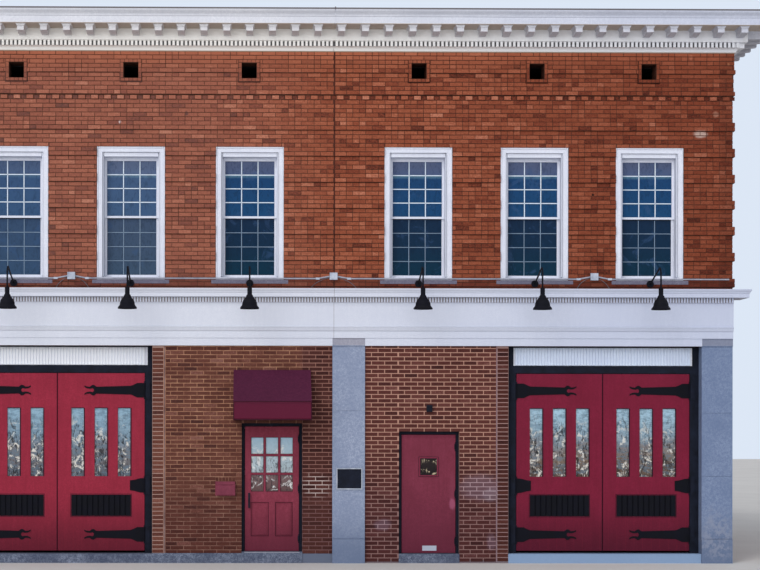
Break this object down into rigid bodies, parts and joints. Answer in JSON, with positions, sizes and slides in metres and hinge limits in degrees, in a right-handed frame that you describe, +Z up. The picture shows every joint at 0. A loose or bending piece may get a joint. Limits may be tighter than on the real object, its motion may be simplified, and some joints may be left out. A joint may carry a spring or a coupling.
{
  "type": "fire station building",
  "caption": "Two-storey brick fire station with a bracketed cornice, double-hung windows, gooseneck lamps, paired vehicle doors on strap hinges and hinged personnel doors.",
  "frame": {"origin": "centre of the building's footprint, on the ground", "axes": "+Z up, the front faces -Y, +X to the right as seen from the front"},
  "size_m": [14.3, 13.7509, 8.83],
  "materials": {
    "concrete": "rough",
    "timber_floor": "satin",
    "roofing": "matt",
    "ground_brick": "rough",
    "upper_brick": "rough",
    "cast_stone": "honed",
    "white_paint": "satin",
    "white_wood": "painted",
    "black_paint": "satin",
    "red_paint": "painted",
    "red_steel": "satin",
    "glass": "clear",
    "galvanised": "dull",
    "awning_skin": "matt"
  },
  "bodies": {
    "building": {"ground_slab": "concrete", "upper_floor": "timber_floor", "roof_deck": "roofing", "front_wall_ground": "ground_brick", "front_wall_lintels": "ground_brick", "front_wall_upper": "upper_brick", "side_walls": "upper_brick", "rear_wall": "upper_brick", "brick_bands": "upper_brick", "stone_piers": "cast_stone", "door_sills": "cast_stone", "door_frames": "black_paint", "transom_panels": "white_wood", "window_frames": "white_wood", "window_glass": "glass", "window_sills": "cast_stone", "cornice_front": "white_paint", "cornice_returns": "white_paint", "cornice_brackets": "white_paint", "cornice_dentils": "white_paint", "lower_cornice": "white_wood", "wall_conduit": "galvanised", "lamp_arms": "black_paint", "lamp_shades": "black_paint", "entrance_awning": "awning_skin", "mail_box": "red_steel", "pier_plaque": "black_paint", "exit_fixture": "black_paint"},
    "vehicle_leaf_a": {"bay_leaf_a": "red_paint", "bay_glass_a": "glass", "bay_ironwork_a": "black_paint"},
    "vehicle_leaf_b": {"bay_leaf_b": "red_paint", "bay_glass_b": "glass", "bay_ironwork_b": "black_paint"},
    "vehicle_leaf_c": {"bay_leaf_c": "red_paint", "bay_glass_c": "glass", "bay_ironwork_c": "black_paint"},
    "vehicle_leaf_d": {"bay_leaf_d": "red_paint", "bay_glass_d": "glass", "bay_ironwork_d": "black_paint"},
    "entrance_door": {"entrance_leaf": "red_paint", "entrance_glass": "glass", "entrance_hardware": "black_paint"},
    "exit_door": {"exit_leaf": "red_steel", "exit_glass": "glass", "exit_hardware": "black_paint"}
  },
  "joints": [
    {"name": "vehicle_leaf_a_hinge", "type": "hinge", "parent": "building", "child": "vehicle_leaf_a", "pos_m": [-5.86, -5.837, 1.6], "axis": [0, 0, -1], "range_deg": [0, 90]},
    {"name": "vehicle_leaf_b_hinge", "type": "hinge", "parent": "building", "child": "vehicle_leaf_b", "pos_m": [-3.048, -5.837, 1.6], "axis": [0, 0, 1], "range_deg": [0, 90]},
    {"name": "vehicle_leaf_c_hinge", "type": "hinge", "parent": "building", "child": "vehicle_leaf_c", "pos_m": [2.984, -5.837, 1.6], "axis": [0, 0, -1], "range_deg": [0, 90]},
    {"name": "vehicle_leaf_d_hinge", "type": "hinge", "parent": "building", "child": "vehicle_leaf_d", "pos_m": [5.796, -5.837, 1.6], "axis": [0, 0, 1], "range_deg": [0, 90]},
    {"name": "entrance_door_hinge", "type": "hinge", "parent": "building", "child": "entrance_door", "pos_m": [-0.55, -5.917, 1.1], "axis": [0, 0, 1], "range_deg": [0, 90]},
    {"name": "exit_door_hinge", "type": "hinge", "parent": "building", "child": "exit_door", "pos_m": [1.985, -5.917, 1.1], "axis": [0, 0, 1], "range_deg": [0, 90]}
  ]
}
